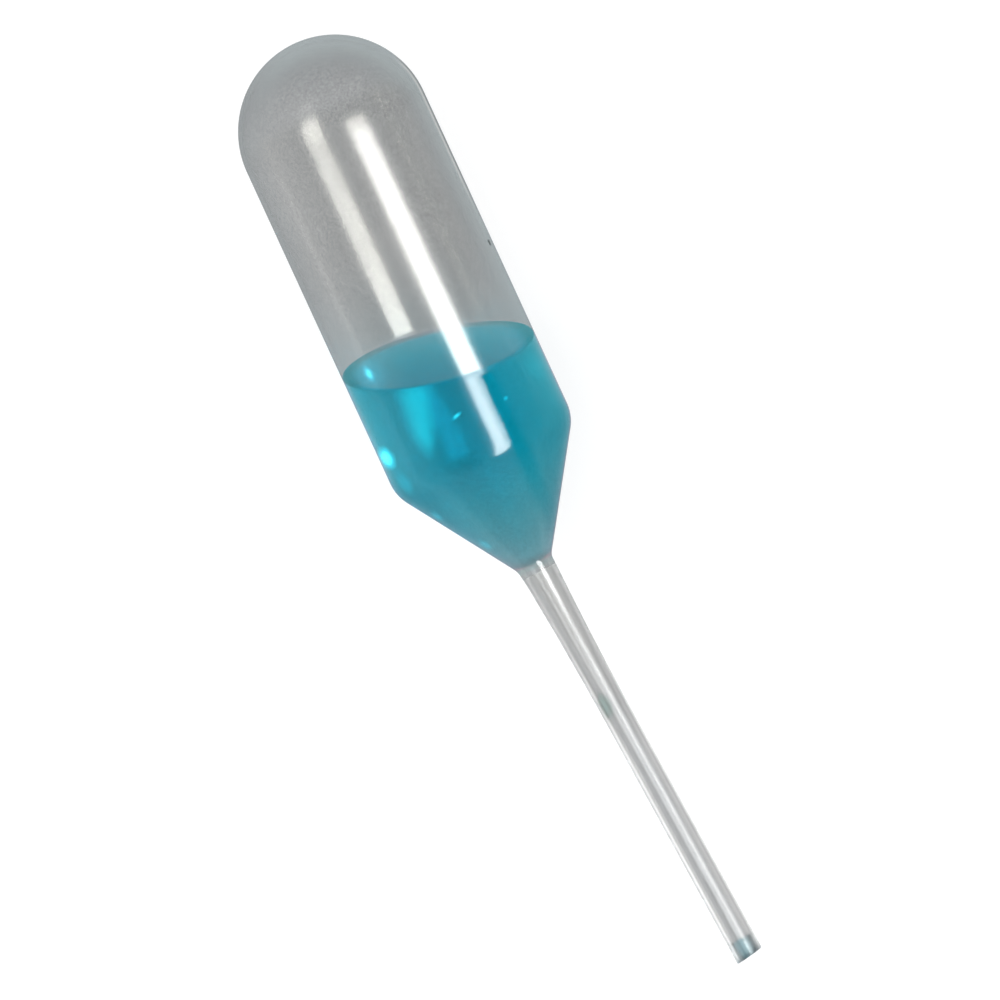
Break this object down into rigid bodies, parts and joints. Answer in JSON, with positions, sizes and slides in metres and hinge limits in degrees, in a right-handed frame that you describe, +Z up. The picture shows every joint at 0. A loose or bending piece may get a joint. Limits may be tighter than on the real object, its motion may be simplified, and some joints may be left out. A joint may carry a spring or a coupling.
{
  "type": "dropper pipette",
  "caption": "Squeeze dropper pipette: dome-ended translucent bulb, conical shoulder and thin open stem, part filled with turquoise liquid, lying on its side.",
  "frame": {"origin": "middle of the overall box in X and Y, on the surface that the bulb lies on", "axes": "+X along the bulb's axis towards the tip, +Z up from the surface, +Y to the side that the stem leans to"},
  "size_m": [0.105, 0.02, 0.02],
  "materials": {
    "translucent_plastic": "natural low-density polyethylene, glossy outside with a fine haze",
    "turquoise_liquid": "clear dyed water with a smooth surface"
  },
  "bodies": {
    "root": {"pipette_body": "translucent_plastic", "bulb_liquid": "turquoise_liquid", "stem_droplet": "turquoise_liquid", "tip_liquid": "turquoise_liquid"}
  },
  "joints": []
}
